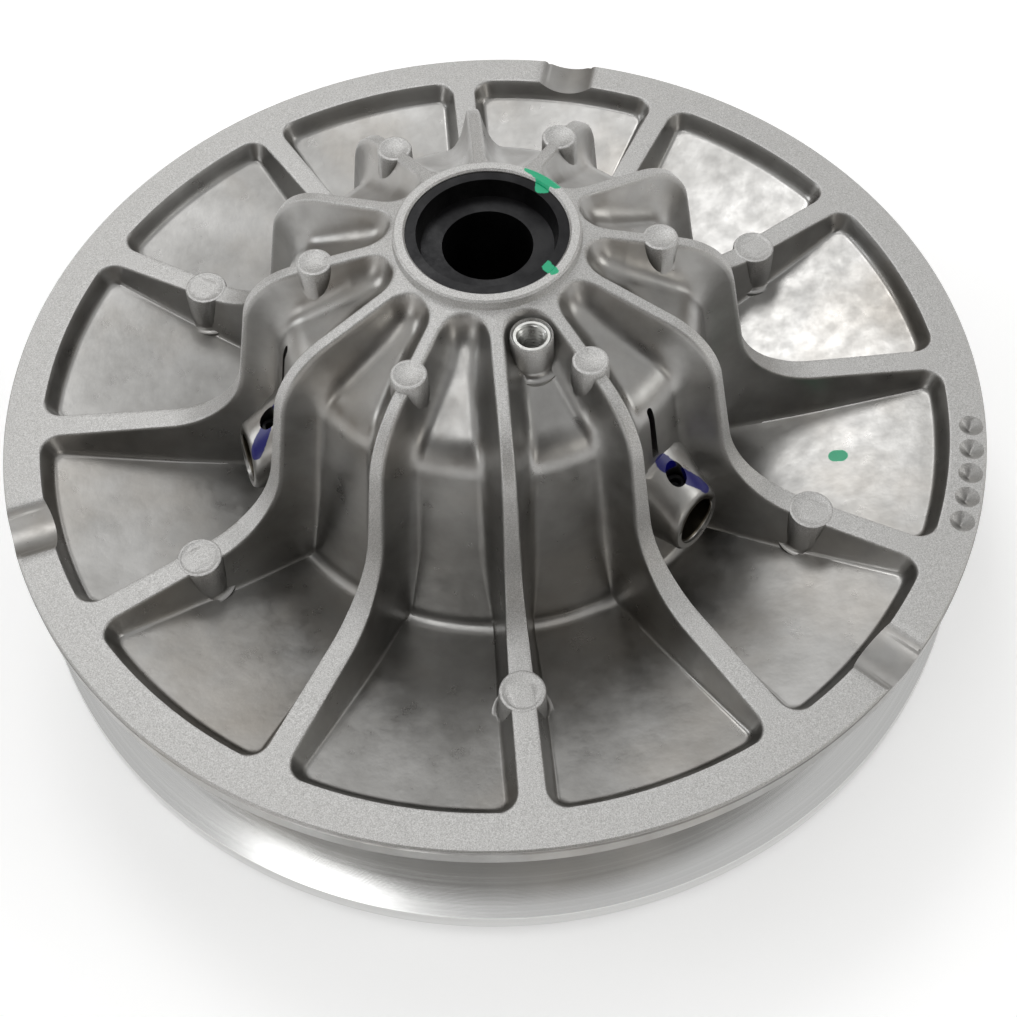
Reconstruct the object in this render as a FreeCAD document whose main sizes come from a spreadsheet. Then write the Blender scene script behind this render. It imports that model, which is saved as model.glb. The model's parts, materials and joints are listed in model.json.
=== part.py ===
# Driven pulley set of a belt CVT: two ribbed sheaves, the helix cam and rollers that
# join them, the closing spring and the splined centre post.
#
# Frame: the set stands on the back of its inner half, +Z runs up along the pulley axis and
# the origin is on that axis in the standing plane.  Millimetres.
import FreeCAD, Part
import math
import os

import Sketcher
from FreeCAD import Placement, Rotation, Vector

# Driving dimensions.  Heights are above the standing plane, radii are from the pulley axis.
DIMENSIONS = {
    # sheave discs
    "sheave_radius": 145,
    "belt_slope": 0.24,
    "rim_top": 62,
    "rim_lip": 6.4,
    "rim_width": 10.8,
    "rim_gap": 41.6,
    "disc_wall": 4.3,
    "face_inner_radius": 62,
    "pocket_depth": 5.5,
    # outer sheave dome
    "hub_top": 132,
    "hub_radius": 25,
    "land_height": 66,
    "cavity_radius": 53,
    "cavity_top": 108,
    "dome_shoulder": 65.6,
    "dome_foot": 76.2,
    "valley_shoulder": 59,
    "valley_foot": 67,
    "rib_count": 12,
    "rib_width": 7,
    "inner_boss_orbit": 46.3,
    "inner_boss_radius": 5.4,
    "outer_boss_orbit": 99.8,
    "outer_boss_radius": 6.2,
    # roller housings and rim marks
    "housing_half_width": 11,
    "housing_rise": 18,
    "housing_reach": 22,
    "pin_end_depth": 5.5,
    "pin_screw_orbit": 66.5,
    "slit_offset": 4.5,
    "slit_width": 2.5,
    "slit_level": 91.5,
    "slit_length": 15,
    "notch_radius": 15.8,
    "notch_axis_rise": 12.8,
    "dimple_orbit": 140.3,
    "dimple_radius": 3.6,
    "dimple_depth": 2.8,
    # opener thread
    "opener_orbit": 34,
    "opener_boss_radius": 6,
    "opener_thread": 8,
    "insert_radius": 4.8,
    # centre post
    "post_radius": 21.8,
    "journal_radius": 19,
    "bore_radius": 12.2,
    "washer_recess": 6,
    "spline_root": 13.5,
    "spline_count": 18,
    "post_foot": 2,
    # inner sheave
    "opening_radius": 41.5,
    "collar_radius": 56,
    "inner_rim_base": 7,
    "seat_height": 34,
    "back_rib_radius": 100,
    # helix cam and its rollers
    "travel": 24,
    "cam_inner_radius": 44,
    "cam_outer_radius": 50,
    "cam_top": 106,
    "cap_thickness": 5.5,
    "tube_radius": 27,
    "tube_foot": 40,
    "bush_radius": 21.5,
    "bush_clearance": 0.04,
    "bush_length": 20,
    "roller_count": 3,
    "roller_radius": 9.2,
    "roller_level": 65.5,
    "slot_clearance": 0.3,
    "slot_end_relief": 0.1,
    "roller_bore": 6.5,
    "pin_journal": 4.5,
    "pin_radius": 6,
    "pin_access_radius": 6.75,
    "screw_orbit": 47,
    "screw_radius": 2.5,
    "screw_head_radius": 4.25,
    "dowel_radius": 2,
    # spring and its seat
    "spring_radius": 34,
    "wire_diameter": 6,
    "spring_turns": 7,
    "seat_floor": 10,
    "slip_height": 2.6,
}

RIB_STEP = 360 / DIMENSIONS["rib_count"]
FIRST_ROLLER = 75        # azimuth of the first roller pin, degrees
OPENER_AZIMUTH = 285     # azimuth of the opener thread, degrees
SCREW_COUNT = 6
FIRST_DIMPLE = 335.6       # azimuth of the first balance dimple
DIMPLE_COUNT = 5
DIMPLE_SPREAD = 13.9       # degrees from the first dimple to the last

doc = FreeCAD.newDocument("driven_pulley")
dims = doc.addObject("Spreadsheet::Sheet", "Dims")
for row, (alias, value) in enumerate(DIMENSIONS.items(), start=1):
    dims.set(f"A{row}", alias)
    dims.set(f"B{row}", str(value))
    dims.setAlias(f"B{row}", alias)
doc.recompute()

sub_parts = []


# --- helpers -------------------------------------------------------------------------------

def bound(expression):
    """An expression on the sheet's aliases, written with bare aliases."""
    words = sorted(DIMENSIONS, key=len, reverse=True)
    text = str(expression)
    for index, word in enumerate(words):
        text = text.replace(word, f"<{index}>")
    for index, word in enumerate(words):
        text = text.replace(f"<{index}>", f"Dims.{word}")
    return text


def value_of(expression):
    """The number that an expression on the sheet has now."""
    result = dims.evalExpression(bound(expression))
    return float(getattr(result, "Value", result))


def new_body(label, azimuth=0):
    """A body with its own name, turned about the pulley axis."""
    body = doc.addObject("PartDesign::Body", label)
    body.Label = label
    body.Placement = Placement(Vector(), Rotation(Vector(0, 0, 1), azimuth))
    sub_parts.append(body)
    return body


def origin_item(body, role):
    """A plane or an axis of the body's own origin."""
    return next(item for item in body.Origin.OriginFeatures if item.Role == role)


def new_sketch(body, role, azimuth=0, offset=0):
    """A sketch on an origin plane, turned about the axis and moved out along its normal."""
    sketch = body.newObject("Sketcher::SketchObject", "Sketch")
    sketch.AttachmentSupport = [(origin_item(body, role), "")]
    sketch.MapMode = "FlatFace"
    turn = Rotation(Vector(0, 0 if role == "XY_Plane" else 1, 1 if role == "XY_Plane" else 0), azimuth)
    sketch.AttachmentOffset = Placement(turn.multVec(Vector(0, 0, value_of(offset))), turn)
    if role == "XY_Plane":
        sketch.setExpression("AttachmentOffset.Base.z", bound(offset))
    return sketch


def hold(sketch, kind, geometry, expression):
    """Add one dimension to a sketch and bind it to the sheet."""
    index = sketch.addConstraint(Sketcher.Constraint(kind, *geometry, value_of(expression)))
    sketch.setExpression(f"Constraints[{index}]", bound(expression))


def draw_circle(sketch, x, y, radius):
    """A circle whose centre and radius follow the sheet."""
    centre = Vector(value_of(x), value_of(y), 0)
    circle = sketch.addGeometry(Part.Circle(centre, Vector(0, 0, 1), value_of(radius)), False)
    hold(sketch, "DistanceX", (-1, 1, circle, 3), x)
    hold(sketch, "DistanceY", (-1, 1, circle, 3), y)
    hold(sketch, "Radius", (circle,), radius)


def draw_outline(sketch, corners):
    """A closed outline of (x, y) corners, with a third value where a corner is rounded."""
    points = [Vector(value_of(corner[0]), value_of(corner[1]), 0) for corner in corners]
    radii = [value_of(corner[2]) if len(corner) > 2 else 0 for corner in corners]
    count = len(points)
    entry, leave, arcs = list(points), list(points), {}
    for i in range(count):
        if radii[i]:
            before = (points[i - 1] - points[i]).normalize()
            after = (points[(i + 1) % count] - points[i]).normalize()
            half = before.getAngle(after) / 2
            entry[i] = points[i] + before * (radii[i] / math.tan(half))
            leave[i] = points[i] + after * (radii[i] / math.tan(half))
            inward = (before + after).normalize()
            centre = points[i] + inward * (radii[i] / math.sin(half))
            arcs[i] = Part.Arc(entry[i], centre - inward * radii[i], leave[i])
    lines = [Part.LineSegment(leave[i], entry[(i + 1) % count]) for i in range(count)]
    sketch.addGeometry(lines, False)
    for i in range(count):
        x, y = corners[i][0], corners[i][1]
        if i not in arcs:
            sketch.addConstraint(Sketcher.Constraint("Coincident", (i - 1) % count, 2, i, 1))
            hold(sketch, "DistanceX", (-1, 1, i, 1), x)
            hold(sketch, "DistanceY", (-1, 1, i, 1), y)
            continue
        arc = sketch.addGeometry(arcs[i], False)
        ends = (sketch.getPoint(arc, 1) - entry[i]).Length < (sketch.getPoint(arc, 2) - entry[i]).Length
        first, last = (1, 2) if ends else (2, 1)
        sketch.addConstraint(Sketcher.Constraint("Tangent", (i - 1) % count, 2, arc, first))
        sketch.addConstraint(Sketcher.Constraint("Tangent", arc, last, i, 1))
        corner = sketch.addGeometry(Part.Point(points[i]), True)
        sketch.addConstraint(Sketcher.Constraint("PointOnObject", corner, 1, (i - 1) % count))
        sketch.addConstraint(Sketcher.Constraint("PointOnObject", corner, 1, i))
        hold(sketch, "DistanceX", (-1, 1, corner, 1), x)
        hold(sketch, "DistanceY", (-1, 1, corner, 1), y)
        hold(sketch, "Radius", (arc,), corners[i][2])


def revolve(body, corners, kind="Revolution", azimuth=0):
    """Turn an outline of (radius, height) corners about the pulley axis."""
    sketch = new_sketch(body, "XZ_Plane", azimuth)
    draw_outline(sketch, corners)
    feature = body.newObject(f"PartDesign::{kind}", kind)
    feature.Profile = sketch
    feature.ReferenceAxis = (sketch, ["V_Axis"])
    feature.Angle = 360
    return feature


def extrude(body, sketch, length, kind="Pad", symmetric=False, reverse=False):
    """Pad or pocket a sketch by a length that follows the sheet."""
    feature = body.newObject(f"PartDesign::{kind}", kind)
    feature.Profile = sketch
    feature.setExpression("Length", bound(length))
    feature.Midplane = symmetric
    feature.Reversed = reverse
    return feature


def around(body, features, count, angle=360):
    """Repeat features about the pulley axis."""
    pattern = body.newObject("PartDesign::PolarPattern", "Pattern")
    pattern.Originals = features
    pattern.Axis = (origin_item(body, "Z_Axis"), [""])
    pattern.Angle = angle
    pattern.Occurrences = count
    body.Tip = pattern
    return pattern


def post(body, x, y, radius, base, top):
    """A round boss standing along the axis between two heights."""
    sketch = new_sketch(body, "XY_Plane", 0, base)
    draw_circle(sketch, x, y, radius)
    return extrude(body, sketch, f"({top}) - ({base})")


def drill(body, x, y, radius, base, top):
    """A round hole along the axis between two heights."""
    sketch = new_sketch(body, "XY_Plane", 0, base)
    draw_circle(sketch, x, y, radius)
    return extrude(body, sketch, f"({top}) - ({base})", "Pocket", reverse=True)


def turned(label, corners, azimuth=0):
    """A sub-part that is one turned piece."""
    body = new_body(label, azimuth)
    revolve(body, corners)
    return body


def ring(label, inner, outer, base, top, azimuth=0):
    """A plain turned ring."""
    return turned(label, [(inner, base), (outer, base), (outer, top), (inner, top)], azimuth)


# --- outer sheave ---------------------------------------------------------------------------

def add_outer_sheave():
    """The domed disc with its hub, twelve ribs, bosses and roller housings."""
    body = new_body("outer_sheave", FIRST_ROLLER)
    rib_azimuth = RIB_STEP / 2
    pocket_edge = "sheave_radius - rim_width"
    floor_edge = "rim_top - pocket_depth"
    face_foot = "rim_top - rim_lip - belt_slope * (sheave_radius - face_inner_radius)"
    revolve(body, [
        ("post_radius", "cavity_top"),
        ("post_radius", "hub_top"),
        ("hub_radius", "hub_top"),
        ("hub_radius", "rim_top + land_height"),
        ("hub_radius + 12", "rim_top + land_height - 2"),
        ("hub_radius + 18", "cavity_top + 8", 6),
        ("valley_shoulder", "cavity_top + 3", 8),
        ("valley_foot", f"{floor_edge} - belt_slope * ({pocket_edge} - valley_foot)", 14),
        (pocket_edge, floor_edge, 2),
        (f"{pocket_edge} + 1", "rim_top"),
        ("sheave_radius", "rim_top"),
        ("sheave_radius", "rim_top - rim_lip"),
        ("face_inner_radius", face_foot),
        ("cavity_radius", face_foot),
        ("cavity_radius", "cavity_top", 5),
    ])
    ribs = new_sketch(body, "XZ_Plane", rib_azimuth)
    draw_outline(ribs, [
        ("hub_radius - 1", "rim_top + land_height - 4"),
        ("hub_radius - 1", "rim_top + land_height + 1.4"),
        ("dome_shoulder", "rim_top + land_height - 9.6", 22),
        ("dome_foot", "rim_top - 1", 24),
        ("sheave_radius - rim_width + 2", "rim_top - 0.2"),
        ("sheave_radius - rim_width + 2", f"{floor_edge} - 1"),
        ("valley_foot", f"{floor_edge} - 1 - belt_slope * ({pocket_edge} - valley_foot)"),
        ("valley_shoulder - 2", "cavity_top + 1"),
        ("hub_radius + 10", "cavity_top + 6"),
    ])
    rib = extrude(body, ribs, "rib_width", symmetric=True)
    around(body, [rib], DIMENSIONS["rib_count"])
    add_outer_bosses(body, rib_azimuth)
    add_roller_housings(body)
    add_rim_marks(body)
    return body


def add_outer_bosses(body, rib_azimuth):
    """Round ejector bosses on every second rib and the boss for the opener thread."""
    for orbit, radius, base, top, turn in (
            ("inner_boss_orbit", "inner_boss_radius", "cavity_top + 4", "rim_top + 60.9", rib_azimuth + 30),
            ("outer_boss_orbit", "outer_boss_radius", "rim_top - 14", "rim_top - 0.6", rib_azimuth)):
        x = f"{orbit} * {math.cos(math.radians(turn)):.6f}"
        y = f"{orbit} * {math.sin(math.radians(turn)):.6f}"
        boss = post(body, x, y, radius, base, top)
        around(body, [boss], DIMENSIONS["rib_count"] // 2)
    turn = math.radians(OPENER_AZIMUTH - FIRST_ROLLER)
    x = f"opener_orbit * {math.cos(turn):.6f}"
    y = f"opener_orbit * {math.sin(turn):.6f}"
    post(body, x, y, "opener_boss_radius", "cavity_top + 4", "rim_top + 65.8")
    drill(body, x, y, "insert_radius", "cavity_top - 2", "rim_top + 66")


def add_roller_housings(body):
    """Three housings in the dome wall, each bored for a roller pin and its set screw."""
    housing = new_sketch(body, "YZ_Plane", 0, "cavity_radius + 4")
    rounding = DIMENSIONS["housing_half_width"] - 0.1
    draw_outline(housing, [
        ("-housing_half_width", "roller_level - housing_half_width", rounding),
        ("housing_half_width", "roller_level - housing_half_width", rounding),
        ("housing_half_width", "roller_level + housing_rise", rounding),
        ("-housing_half_width", "roller_level + housing_rise", rounding),
    ])
    housings = [extrude(body, housing, "housing_reach - 4")]
    bore = new_sketch(body, "YZ_Plane", 0, "cavity_radius - 3")
    draw_circle(bore, "0", "roller_level", "pin_radius")
    housings.append(extrude(body, bore, "housing_reach + 8", "Pocket", reverse=True))
    access = new_sketch(body, "YZ_Plane", 0, "cavity_radius + housing_reach - pin_end_depth + 0.5")
    draw_circle(access, "0", "roller_level", "pin_access_radius")
    housings.append(extrude(body, access, "pin_end_depth + 5", "Pocket", reverse=True))
    slit = new_sketch(body, "YZ_Plane", 0, "cavity_radius - 3")
    draw_outline(slit, [
        ("-slit_offset - slit_width", "slit_level"),
        ("-slit_offset", "slit_level"),
        ("-slit_offset", "slit_level + slit_length"),
        ("-slit_offset - slit_width", "slit_level + slit_length"),
    ])
    housings.append(extrude(body, slit, "14", "Pocket", reverse=True))
    housings.append(drill(body, "pin_screw_orbit", "0", "3", "roller_level", "roller_level + 30"))
    around(body, housings, DIMENSIONS["roller_count"])


def add_rim_marks(body):
    """Cutter run-out notches over the roller pins and a row of balance dimples."""
    notch = new_sketch(body, "YZ_Plane", 0, "sheave_radius - rim_width - 4")
    draw_circle(notch, "0", "rim_top + notch_axis_rise", "notch_radius")
    notches = extrude(body, notch, "rim_width + 10", "Pocket", reverse=True)
    around(body, [notches], DIMENSIONS["roller_count"])
    dimple = new_sketch(body, "XZ_Plane", FIRST_DIMPLE - FIRST_ROLLER)
    draw_outline(dimple, [
        ("dimple_orbit", "rim_top - dimple_depth"),
        ("dimple_orbit + dimple_radius * 1.4", "rim_top + dimple_depth * 0.4"),
        ("dimple_orbit", "rim_top + dimple_depth * 0.4"),
    ])
    cone = body.newObject("PartDesign::Groove", "Groove")
    cone.Profile = dimple
    cone.ReferenceAxis = (dimple, ["Edge3"])
    cone.Angle = 360
    around(body, [cone], DIMPLE_COUNT, DIMPLE_SPREAD)


# --- centre post and what it carries --------------------------------------------------------

def add_centre_post():
    """The steel post: pressed in the hub, running in the cam's bushes, splined inside."""
    body = turned("centre_post", [
        ("bore_radius", "post_foot"),
        ("journal_radius - 1", "post_foot"),
        ("journal_radius", "post_foot + 1"),
        ("journal_radius", "post_foot + 2.1"),
        ("journal_radius - 1.5", "post_foot + 2.1"),
        ("journal_radius - 1.5", "post_foot + 4.1"),
        ("journal_radius", "post_foot + 4.1"),
        ("journal_radius", "cavity_top + 1"),
        ("post_radius", "cavity_top + 1"),
        ("post_radius", "hub_top - 0.8"),
        ("post_radius - 2.9", "hub_top - 0.8"),
        ("post_radius - 4", "hub_top - washer_recess"),
        ("bore_radius", "hub_top - washer_recess"),
    ])
    spline = new_sketch(body, "XY_Plane", 0, "post_foot")
    draw_outline(spline, [
        ("bore_radius - 1", "-1"),
        ("spline_root", "-0.8"),
        ("spline_root", "0.8"),
        ("bore_radius - 1", "1"),
    ])
    tooth = extrude(body, spline, "rim_top - 4", "Pocket", reverse=True)
    around(body, [tooth], DIMENSIONS["spline_count"])
    return body


def add_post_rings():
    """Spring seat, its snap ring, the slip washer, the stop washer and the opener insert."""
    turned("spring_seat", [
        ("journal_radius", "post_foot + 4.1"),
        ("spring_radius + 5.5", "post_foot + 4.1"),
        ("spring_radius + 5.5", "seat_floor + 6"),
        ("spring_radius + 4", "seat_floor + 6"),
        ("spring_radius + 4", "seat_floor"),
        ("journal_radius", "seat_floor"),
    ])
    snap = ring("snap_ring", "journal_radius - 1.5", "journal_radius + 2.4",
                "post_foot + 2.2", "post_foot + 4.1")
    gap = new_sketch(snap, "XY_Plane")
    draw_outline(gap, [("10", "-3"), ("30", "-3"), ("30", "3"), ("10", "3")])
    extrude(snap, gap, "rim_top", "Pocket", reverse=True)
    ring("slip_washer", "journal_radius + 3", "spring_radius + 3.6",
         "seat_floor + 0.1", "seat_floor + slip_height")
    ring("stop_washer", "journal_radius + 1", "opener_orbit - insert_radius - 0.6",
         "cam_top + 0.3", "cavity_top")
    insert = ring("opener_insert", "opener_thread / 2 - 0.65", "insert_radius",
                  "cavity_top + 2", "rim_top + 65")
    turn = math.radians(OPENER_AZIMUTH)
    orbit = value_of("opener_orbit")
    insert.Placement.Base = Vector(orbit * math.cos(turn), orbit * math.sin(turn), 0)


# --- rollers ------------------------------------------------------------------------------------

def outward(azimuth, radius=0):
    """Placement that lays a piece's own axis along a radius at the rollers' height."""
    spin = Rotation(Vector(0, 0, 1), azimuth).multiply(Rotation(Vector(0, 1, 0), 90))
    base = Rotation(Vector(0, 0, 1), azimuth).multVec(Vector(radius, 0, 0))
    return Placement(base + Vector(0, 0, value_of("roller_level")), spin)


def add_roller(number):
    """One roller with its bush, pin, clip and set screw."""
    azimuth = FIRST_ROLLER + (number - 1) * 360 / DIMENSIONS["roller_count"]
    inner, outer = "cam_inner_radius", "cam_outer_radius"
    pieces = [
        turned(f"roller_pin_{number}", [
            ("0", f"{inner} - 2.6"),
            ("pin_journal", f"{inner} - 2.6"),
            ("pin_journal", f"{inner} - 1.9"),
            ("pin_journal - 0.8", f"{inner} - 1.9"),
            ("pin_journal - 0.8", f"{inner} - 0.9"),
            ("pin_journal", f"{inner} - 0.9"),
            ("pin_journal", f"{outer} + 0.7"),
            ("pin_radius", f"{outer} + 0.7"),
            ("pin_radius", "cavity_radius + 16.5"),
            ("0", "cavity_radius + 16.5"),
        ]),
        ring(f"roller_clip_{number}", "pin_journal - 0.8", "pin_journal + 2", f"{inner} - 1.9", f"{inner} - 0.9"),
        turned(f"roller_{number}", [
            ("roller_bore", f"{inner} - 0.4"),
            ("roller_radius - 0.6", f"{inner} - 0.4"),
            ("roller_radius", f"{inner} + 0.2"),
            ("roller_radius", f"{outer} - 0.2"),
            ("roller_radius - 0.6", f"{outer} + 0.4"),
            ("roller_bore", f"{outer} + 0.4"),
        ]),
        ring(f"roller_bush_{number}", "pin_journal + bush_clearance", "roller_bore",
             f"{inner} - 0.4", f"{outer} + 0.4"),
    ]
    for piece in pieces:
        piece.Placement = outward(azimuth)
    screw = turned(f"pin_screw_{number}", [
        ("0", "roller_level + pin_radius"),
        ("2", "roller_level + pin_radius"),
        ("3", "roller_level + pin_radius + 1"),
        ("3", "roller_level + 17"),
        ("1.5", "roller_level + 17"),
        ("1.5", "roller_level + 13"),
        ("0", "roller_level + 13"),
    ])
    orbit = Rotation(Vector(0, 0, 1), azimuth).multVec(Vector(value_of("cavity_radius + 13.5"), 0, 0))
    screw.Placement = Placement(orbit, Rotation())


# --- inner half -----------------------------------------------------------------------------

def add_inner_sheave():
    """The sliding disc, open in the middle for the spring, with ribs on its back."""
    body = new_body("inner_sheave")
    rim_face = "rim_top - rim_lip - rim_gap"
    web_foot = "seat_height - 0.3 - 1.3 * disc_wall"
    revolve(body, [
        ("opening_radius", "0"),
        ("collar_radius - 4", "0"),
        ("collar_radius", "4"),
        ("collar_radius", web_foot, 4),
        ("sheave_radius - 6", f"{rim_face} - disc_wall", 3),
        ("sheave_radius - 6", "inner_rim_base"),
        ("sheave_radius", "inner_rim_base"),
        ("sheave_radius", rim_face),
        ("face_inner_radius", f"{rim_face} + belt_slope * (sheave_radius - face_inner_radius)"),
        ("face_inner_radius - 1", "seat_height"),
        ("opening_radius", "seat_height"),
    ])
    back = new_sketch(body, "XZ_Plane", RIB_STEP / 2)
    draw_outline(back, [
        ("opening_radius + 4", "0"),
        ("back_rib_radius", "0", 12),
        ("sheave_radius - 5", "inner_rim_base + 0.5"),
        ("sheave_radius - 5", f"{rim_face} - 2"),
        ("opening_radius + 4", "seat_height - disc_wall"),
    ])
    rib = extrude(body, back, "rib_width - 1", symmetric=True)
    around(body, [rib], DIMENSIONS["rib_count"])
    head = drill(body, "screw_orbit", "0", "screw_head_radius + 0.4", "-1", "21")
    shank = drill(body, "screw_orbit", "0", "screw_radius + 0.3", "20", "seat_height + 1")
    around(body, [head, shank], SCREW_COUNT)
    turn = math.radians(RIB_STEP)
    dowel = drill(body, f"screw_orbit * {math.cos(turn):.6f}", f"screw_orbit * {math.sin(turn):.6f}",
                  "dowel_radius", "seat_height - 8", "seat_height + 1")
    around(body, [dowel], 2)
    return body


def add_cam_fasteners():
    """Socket screws and dowels that hold the helix cam on the inner sheave."""
    add_group("cam_screws", [
        ("0", "16"),
        ("screw_head_radius", "16"),
        ("screw_head_radius", "21"),
        ("screw_radius", "21"),
        ("screw_radius", "seat_height + 12"),
        ("0", "seat_height + 12"),
    ], [360 / SCREW_COUNT * k for k in range(SCREW_COUNT)])
    add_group("cam_dowels", [
        ("0", "seat_height - 7.6"),
        ("dowel_radius", "seat_height - 7.6"),
        ("dowel_radius", "seat_height + 8"),
        ("0", "seat_height + 8"),
    ], [RIB_STEP, RIB_STEP + 180])


def add_group(label, outline, azimuths):
    """Identical turned pieces on the screw circle, kept as separate solids of one sub-part."""
    points = [Vector(value_of(x), 0, value_of(y)) for x, y in outline]
    profile = Part.Face(Part.makePolygon(points + points[:1]))
    piece = profile.revolve(Vector(), Vector(0, 0, 1), 360)
    piece.translate(Vector(value_of("screw_orbit"), 0, 0))
    group = doc.addObject("Part::Feature", label)
    group.Label = label
    group.Shape = Part.makeCompound([
        piece.rotated(Vector(), Vector(0, 0, 1), azimuth) for azimuth in azimuths])
    group.Placement = Placement()
    sub_parts.append(group)


def helical_slot(azimuth):
    """The room that one roller sweeps through the cam wall: a helical band and its two ends."""
    orbit = value_of("(cam_inner_radius + cam_outer_radius) / 2")
    half_width = value_of("roller_radius + slot_clearance")
    travel = value_of("travel")
    depth = value_of("cam_outer_radius - cam_inner_radius") + 6
    path = Part.Wire(Part.makeHelix(2 * math.pi * orbit, travel, orbit))
    across = Vector(0, -half_width, half_width) / math.sqrt(2)
    inner, outer = Vector(orbit - depth / 2, 0, 0), Vector(orbit + depth / 2, 0, 0)
    section = [inner - across, outer - across, outer + across, inner + across]
    pieces = [path.makePipeShell([Part.makePolygon(section + section[:1])], True, True)]
    for rise in (0, travel):
        turn = Rotation(Vector(0, 0, 1), math.degrees(rise / orbit))
        start = turn.multVec(inner) + Vector(0, 0, rise)
        end_radius = half_width + value_of("slot_end_relief")
        pieces.append(Part.makeCylinder(end_radius, depth, start, turn.multVec(Vector(1, 0, 0))))
    for piece in pieces:
        piece.translate(Vector(0, 0, value_of("roller_level")))
    return [piece.rotated(Vector(), Vector(0, 0, 1), azimuth) for piece in pieces]


def add_helix_cam():
    """The cam tower: guide tube, cap and a skirt with one helical slot for each roller."""
    body = new_body("helix_cam_blank")
    revolve(body, [
        ("bush_radius", "tube_foot"),
        ("tube_radius", "tube_foot"),
        ("tube_radius", "cam_top - cap_thickness", 4),
        ("cam_inner_radius", "cam_top - cap_thickness", 1.5),
        ("cam_inner_radius", "seat_height"),
        ("cam_outer_radius", "seat_height"),
        ("cam_outer_radius", "cam_top", 2),
        ("bush_radius", "cam_top"),
    ])
    screw = drill(body, "screw_orbit", "0", "screw_radius", "seat_height - 1", "seat_height + 15")
    around(body, [screw], SCREW_COUNT)
    turn = math.radians(RIB_STEP)
    dowel = drill(body, f"screw_orbit * {math.cos(turn):.6f}", f"screw_orbit * {math.sin(turn):.6f}",
                  "dowel_radius", "seat_height - 1", "seat_height + 9")
    around(body, [dowel], 2)
    doc.recompute()
    sub_parts.remove(body)
    shape = body.Shape.Solids[0]
    for number in range(DIMENSIONS["roller_count"]):
        for room in helical_slot(FIRST_ROLLER + number * 360 / DIMENSIONS["roller_count"]):
            shape = shape.cut(room)
    cam = doc.addObject("Part::Feature", "helix_cam")
    cam.Label = "helix_cam"
    cam.Shape = shape
    cam.Placement = Placement()
    sub_parts.append(cam)


def add_guides():
    """Bushes and the wiper seal that run on the post inside the cam."""
    bore = "journal_radius + bush_clearance"
    ring("upper_bush", bore, "bush_radius", "cam_top - 4 - bush_length", "cam_top - 4")
    ring("lower_bush", bore, "bush_radius", "tube_foot", "tube_foot + bush_length")
    ring("post_seal", bore, "bush_radius", "cam_top - 4", "cam_top - 0.5")


def add_spring():
    """The closing spring between the slip washer and the cam's cap, of twelve-sided wire."""
    wire_radius = value_of("wire_diameter") / 2 - 0.05
    base = value_of("seat_floor + slip_height + wire_diameter / 2")
    rise = value_of("cam_top - cap_thickness - wire_diameter / 2") - base
    orbit = value_of("spring_radius")
    sides = 12
    section = [Vector(orbit + wire_radius * math.cos(2 * math.pi * k / sides), 0,
                      wire_radius * math.sin(2 * math.pi * k / sides)) for k in range(sides)]
    helix = Part.Wire(Part.makeHelix(rise / value_of("spring_turns"), rise, orbit))
    coil = helix.makePipeShell([Part.makePolygon(section + section[:1])], True, True)
    spring = doc.addObject("Part::Feature", "compression_spring")
    spring.Label = "compression_spring"
    spring.Shape = coil
    spring.Placement = Placement(Vector(0, 0, base), Rotation())
    sub_parts.append(spring)


# --- build, check and write -------------------------------------------------------------------

add_outer_sheave()
add_centre_post()
add_post_rings()
for roller_number in range(1, DIMENSIONS["roller_count"] + 1):
    add_roller(roller_number)
add_inner_sheave()
add_helix_cam()
add_cam_fasteners()
add_guides()
add_spring()
doc.recompute()

for item in doc.Objects:
    if "Invalid" in item.State or "Error" in item.State:
        raise RuntimeError(f"{item.Label} failed: {item.State}")
os.makedirs("parts", exist_ok=True)
for part in sub_parts:
    if part.Shape.isNull() or not part.Shape.isValid():
        raise RuntimeError(f"{part.Label} has no valid shape")
    part.Shape.exportStep(f"parts/{part.Label}.step")
    print(part.Label, len(part.Shape.Solids), round(part.Shape.Volume))
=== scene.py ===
"""Looks of a belt CVT's driven pulley: cast and turned aluminium sheaves on a black steel post."""
import json
import math

import bmesh
import bpy
import numpy as np
from mathutils import Euler, Matrix, Vector


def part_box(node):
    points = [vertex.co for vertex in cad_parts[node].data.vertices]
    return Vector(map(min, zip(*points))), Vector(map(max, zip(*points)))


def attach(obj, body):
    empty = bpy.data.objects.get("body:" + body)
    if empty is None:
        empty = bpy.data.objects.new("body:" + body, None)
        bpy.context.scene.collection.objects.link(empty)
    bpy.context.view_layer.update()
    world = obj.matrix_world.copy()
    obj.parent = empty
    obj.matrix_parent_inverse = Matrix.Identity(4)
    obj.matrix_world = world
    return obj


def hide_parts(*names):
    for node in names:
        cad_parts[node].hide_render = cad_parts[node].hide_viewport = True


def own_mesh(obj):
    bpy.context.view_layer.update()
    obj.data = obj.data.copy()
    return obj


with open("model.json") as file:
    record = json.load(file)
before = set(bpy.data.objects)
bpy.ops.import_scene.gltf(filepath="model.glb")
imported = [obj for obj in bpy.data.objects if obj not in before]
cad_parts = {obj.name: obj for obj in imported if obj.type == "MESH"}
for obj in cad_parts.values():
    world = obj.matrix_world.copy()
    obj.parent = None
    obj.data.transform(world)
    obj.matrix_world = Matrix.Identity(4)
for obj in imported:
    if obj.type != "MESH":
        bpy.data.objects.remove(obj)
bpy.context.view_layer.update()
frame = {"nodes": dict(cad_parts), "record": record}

MM = 0.001
HUB_ABOVE_RIM = 70.0
RIM_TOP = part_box("outer_sheave")[1][2] / MM - HUB_ABOVE_RIM    # the rim's flat face, mm above the floor
SECTORS = 12
SECTOR = 2 * math.pi / SECTORS
ROLLER_AZIMUTHS = (75, 195, 315)
ROLLER_LEVEL = 3.5                                             # above the rim's flat face
SET_SCREW_ORBIT = 66.5
NOTCH_LEVEL = 12.8
DIMPLE_ORBIT = 140.3
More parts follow.
